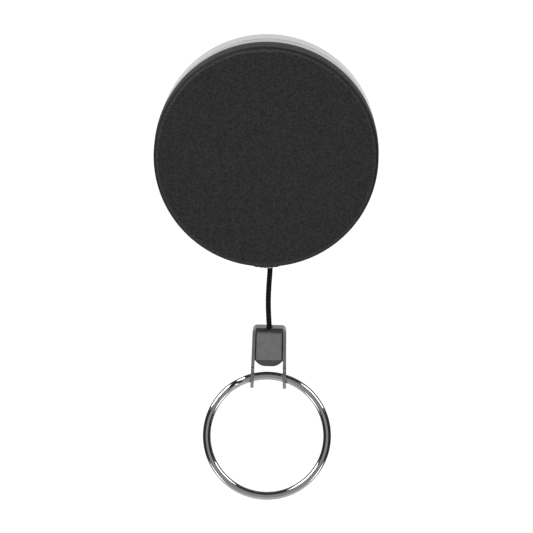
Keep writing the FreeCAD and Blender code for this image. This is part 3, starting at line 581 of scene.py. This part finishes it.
cord_run, run_path, run_start = make_cord_run()
end_knot = make_knot("end_knot_strand", "cord_end_knot", "cord_end", upright=True)
anchor_knot = make_knot("anchor_knot_strand", "cord_anchor_knot", "spool", upright=False)
cord_winding, wound_path = make_cord_winding()


# ---------------------------------------------------------------- belt clip

def arc(centre, radius, start, end, steps):
    """Points (along Y, up) of an arc; angles in degrees from +Y towards +Z."""
    for number in range(steps + 1):
        angle = math.radians(start + (end - start) * number / steps)
        yield (centre[0] + radius * math.cos(angle), centre[1] + radius * math.sin(angle))


def straight(start, end, steps):
    """Points between two points, without the first and the last."""
    for number in range(1, steps):
        share = number / steps
        yield tuple(a + (b - a) * share for a, b in zip(start, end))


CLIP_SHEET = 0.8 * MM
CLIP_WIDTH = base_high.x - base_low.x
BUMP_HEIGHT = -17.45 * MM
KNEE_HEIGHT = -12.0 * MM
TOE_SLOPE = 0.52
TOE_CUT = (3.2 * MM, 2.6 * MM)
BASE_CORNER = 2.5 * MM
COLUMNS = 15


def clip_profile():
    """The clip's middle line from the base's low end over the bend to the tongue's end."""
    half = CLIP_SHEET / 2
    base_y = base_low.y + half
    top = base_high.z - half
    tongue_y = -base_y
    bend = tongue_y - 0.2 * MM
    flat_half = tongue_y - bend
    knee = (tongue_y, KNEE_HEIGHT)
    bump = (tongue_y - 0.3 * MM, BUMP_HEIGHT)
    toe = (bump[0] + (BUMP_HEIGHT - clip_low.z) * TOE_SLOPE, clip_low.z)
    line = [(base_y, base_low.z)]
    line += straight(line[0], (base_y, top - bend), 24)
    line += arc((-flat_half, top - bend), bend, 180, 90, 14)
    line += arc((flat_half, top - bend), bend, 90, 0, 14)
    line += straight((tongue_y, top - bend), knee, 24)
    line += [knee]
    line += straight(knee, bump, 8)
    line += [bump]
    line += straight(bump, toe, 8)
    line += [toe]
    return line


def soften(line):
    """Ease the sharp turns of a line, its ends kept."""
    middle = [
        tuple((a + 2 * b + c) / 4 for a, b, c in zip(before, here, after))
        for before, here, after in zip(line, line[1:], line[2:])
    ]
    return [line[0], *middle, line[-1]]


def clip_half_width(height, on_tongue):
    """Half the clip's width at a height: round corners at the base, cut corners at the toe."""
    half = CLIP_WIDTH / 2
    if on_tongue:
        cut_height, cut_width = TOE_CUT
        left = height - clip_low.z
        return half if left >= cut_height else half - cut_width * (1 - left / cut_height)
    left = height - base_low.z
    if left >= BASE_CORNER:
        return half
    return half - BASE_CORNER + math.sqrt(max(0.0, BASE_CORNER ** 2 - (BASE_CORNER - left) ** 2))


def strip_points(line):
    """Rows of points across the clip along its middle line: outer face, then inner face."""
    crown = max(range(len(line)), key=lambda n: line[n][1])
    points = []
    for number, (along, up) in enumerate(line):
        before = line[max(number - 1, 0)]
        after = line[min(number + 1, len(line) - 1)]
        ahead = Vector((after[0] - before[0], after[1] - before[1])).normalized()
        out = Vector((-ahead.y, ahead.x))
        half = clip_half_width(up, number > crown)
        for face in (1, -1):
            spot = Vector((along, up)) + out * (face * CLIP_SHEET / 2)
            for column in range(COLUMNS):
                share = 2 * column / (COLUMNS - 1) - 1
                points.append((share * half, spot.x, spot.y))
    return points


def strip_faces(rows):
    """The faces of a strip with two faces, two sides and two ends."""
    row = 2 * COLUMNS
    right = COLUMNS - 1
    faces = []
    for number in range(rows - 1):
        here = number * row
        there = here + row
        for column in range(COLUMNS - 1):
            faces.append((here + column, here + column + 1, there + column + 1, there + column))
            near = here + COLUMNS + column
            far = there + COLUMNS + column
            faces.append((near + 1, near, far, far + 1))
        faces.append((here + right, here + COLUMNS + right, there + COLUMNS + right, there + right))
        faces.append((here + COLUMNS, here, there, there + COLUMNS))
    for start, flip in ((0, False), ((rows - 1) * row, True)):
        for column in range(COLUMNS - 1):
            outer = start + column
            inner = outer + COLUMNS
            face = (outer + 1, outer, inner, inner + 1)
            faces.append(tuple(reversed(face)) if flip else face)
    return faces


def make_belt_clip():
    """The whole clip as one bent strip of sheet steel with softened edges."""
    line = soften(clip_profile())
    clip = new_piece("belt_clip_strip", strip_points(line), strip_faces(len(line)), "clip_steel")
    if clip_inside_out(clip):
        clip.data.flip_normals()
    edges = clip.modifiers.new("edges", "BEVEL")
    edges.width = 0.14 * MM
    edges.segments = 3
    edges.limit_method = "ANGLE"
    edges.angle_limit = math.radians(50)
    apply_modifiers(clip)
    clip.data.polygons.foreach_set("use_smooth", [True] * len(clip.data.polygons))
    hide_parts("belt_clip_base", "belt_clip_tongue")
    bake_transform(clip)


def clip_inside_out(piece):
    """True if a closed mesh's faces point inwards."""
    volume = 0.0
    points = piece.data.vertices
    for face in piece.data.polygons:
        corners = [points[n].co for n in face.vertices]
        for second, third in zip(corners[1:], corners[2:]):
            volume += corners[0].dot(second.cross(third))
    return volume < 0


def apply_modifiers(piece):
    """Turn the piece's modifiers into its mesh."""
    graph = bpy.context.evaluated_depsgraph_get()
    finished = bpy.data.meshes.new_from_object(piece.evaluated_get(graph))
    old = piece.data
    piece.modifiers.clear()
    piece.data = finished
    bpy.data.meshes.remove(old)


make_belt_clip()


# ---------------------------------------------------------------- studio

def studio_world():
    """White for the camera; for the metal, a light tent with dark cards beside and above."""
    world = bpy.data.worlds.new("studio")
    world.use_nodes = True
    bpy.context.scene.world = world
    tree = Tree(world.node_tree)
    tree.nodes.clear()

    def ramp(source, low, high, to_low, to_high):
        return tree.remap(source, low, high, to_low, to_high, "SMOOTHSTEP")

    direction = tree.add("ShaderNodeTexCoord").outputs["Generated"]
    side = tree.math("ABSOLUTE", tree.part_of(direction, "X"))
    along = tree.part_of(direction, "Y")
    up = tree.part_of(direction, "Z")
    behind = tree.math("MULTIPLY", ramp(along, 0.82, 0.94, 0.0, 1.0), ramp(up, 0.5, 0.3, 0.0, 1.0))
    ahead = tree.math("MULTIPLY", ramp(along, -0.55, -0.85, 0.0, 0.46),
                      ramp(side, 0.58, 0.32, 0.0, 1.0))
    ahead = tree.math("MULTIPLY", ahead, ramp(up, 0.85, 0.3, 0.35, 1.0))
    below = tree.math("MAXIMUM", ramp(up, -0.35, -0.7, 0.0, 0.8), 0.045)
    light = tree.math("MAXIMUM", tree.math("MAXIMUM", behind, ahead), below)

    seen = tree.add("ShaderNodeBackground")
    seen.inputs["Color"].default_value = (1, 1, 1, 1)
    tent = tree.add("ShaderNodeBackground")
    tree.link(light, tent.inputs["Strength"])
    chosen = tree.add("ShaderNodeMixShader")
    ray = tree.add("ShaderNodeLightPath")
    output = tree.add("ShaderNodeOutputWorld")
    tree.link(ray.outputs["Is Camera Ray"], chosen.inputs[0])
    tree.link(tent.outputs[0], chosen.inputs[1])
    tree.link(seen.outputs[0], chosen.inputs[2])
    tree.link(chosen.outputs[0], output.inputs["Surface"])


LIGHT_DISTANCE = 1.2


def softbox(name, direction, size, power):
    """A square area light that faces the case and that the camera doesn't see."""
    data = bpy.data.lights.new(name, "AREA")
    data.shape = "SQUARE"
    data.size = size
    data.energy = power
    lamp = bpy.data.objects.new(name, data)
    away = Vector(direction).normalized()
    lamp.location = CAMERA_TARGET + away * LIGHT_DISTANCE
    lamp.rotation_mode = "QUATERNION"
    lamp.rotation_quaternion = away.to_track_quat("Z", "Y")
    lamp.visible_camera = False
    bpy.context.scene.collection.objects.link(lamp)


FLOOR_HALF = 6.0
FLOOR_HEIGHT = -0.9


def make_floor():
    """A wide white floor, well below the cord when it is pulled right out."""
    corners = [(-1, -1), (1, -1), (1, 1), (-1, 1)]
    points = [(x * FLOOR_HALF, y * FLOOR_HALF, FLOOR_HEIGHT) for x, y in corners]
    mesh = bpy.data.meshes.new("floor")
    mesh.from_pydata(points, [], [(0, 1, 2, 3)])
    material = bpy.data.materials.new("floor")
    material.use_nodes = True
    shader = material.node_tree.nodes["Principled BSDF"]
    shader.inputs["Base Color"].default_value = (0.9, 0.9, 0.9, 1)
    shader.inputs["Roughness"].default_value = 0.9
    shader.inputs["Emission Color"].default_value = (1, 1, 1, 1)
    shader.inputs["Emission Strength"].default_value = 1.0
    mesh.materials.append(material)
    floor = bpy.data.objects.new("floor", mesh)
    floor.visible_glossy = False
    floor.visible_diffuse = False
    bpy.context.scene.collection.objects.link(floor)


studio_world()
make_floor()
softbox("softbox_left", (-0.72, -0.35, 0.72), size=0.75, power=9.0)
softbox("softbox_right", (0.74, -0.3, 0.62), size=0.6, power=5.0)
softbox("softbox_low_left", (-0.66, -0.5, -0.5), size=0.35, power=1.2)
softbox("softbox_low_right", (0.66, -0.5, -0.5), size=0.35, power=1.2)
bpy.context.scene.view_settings.view_transform = "Standard"
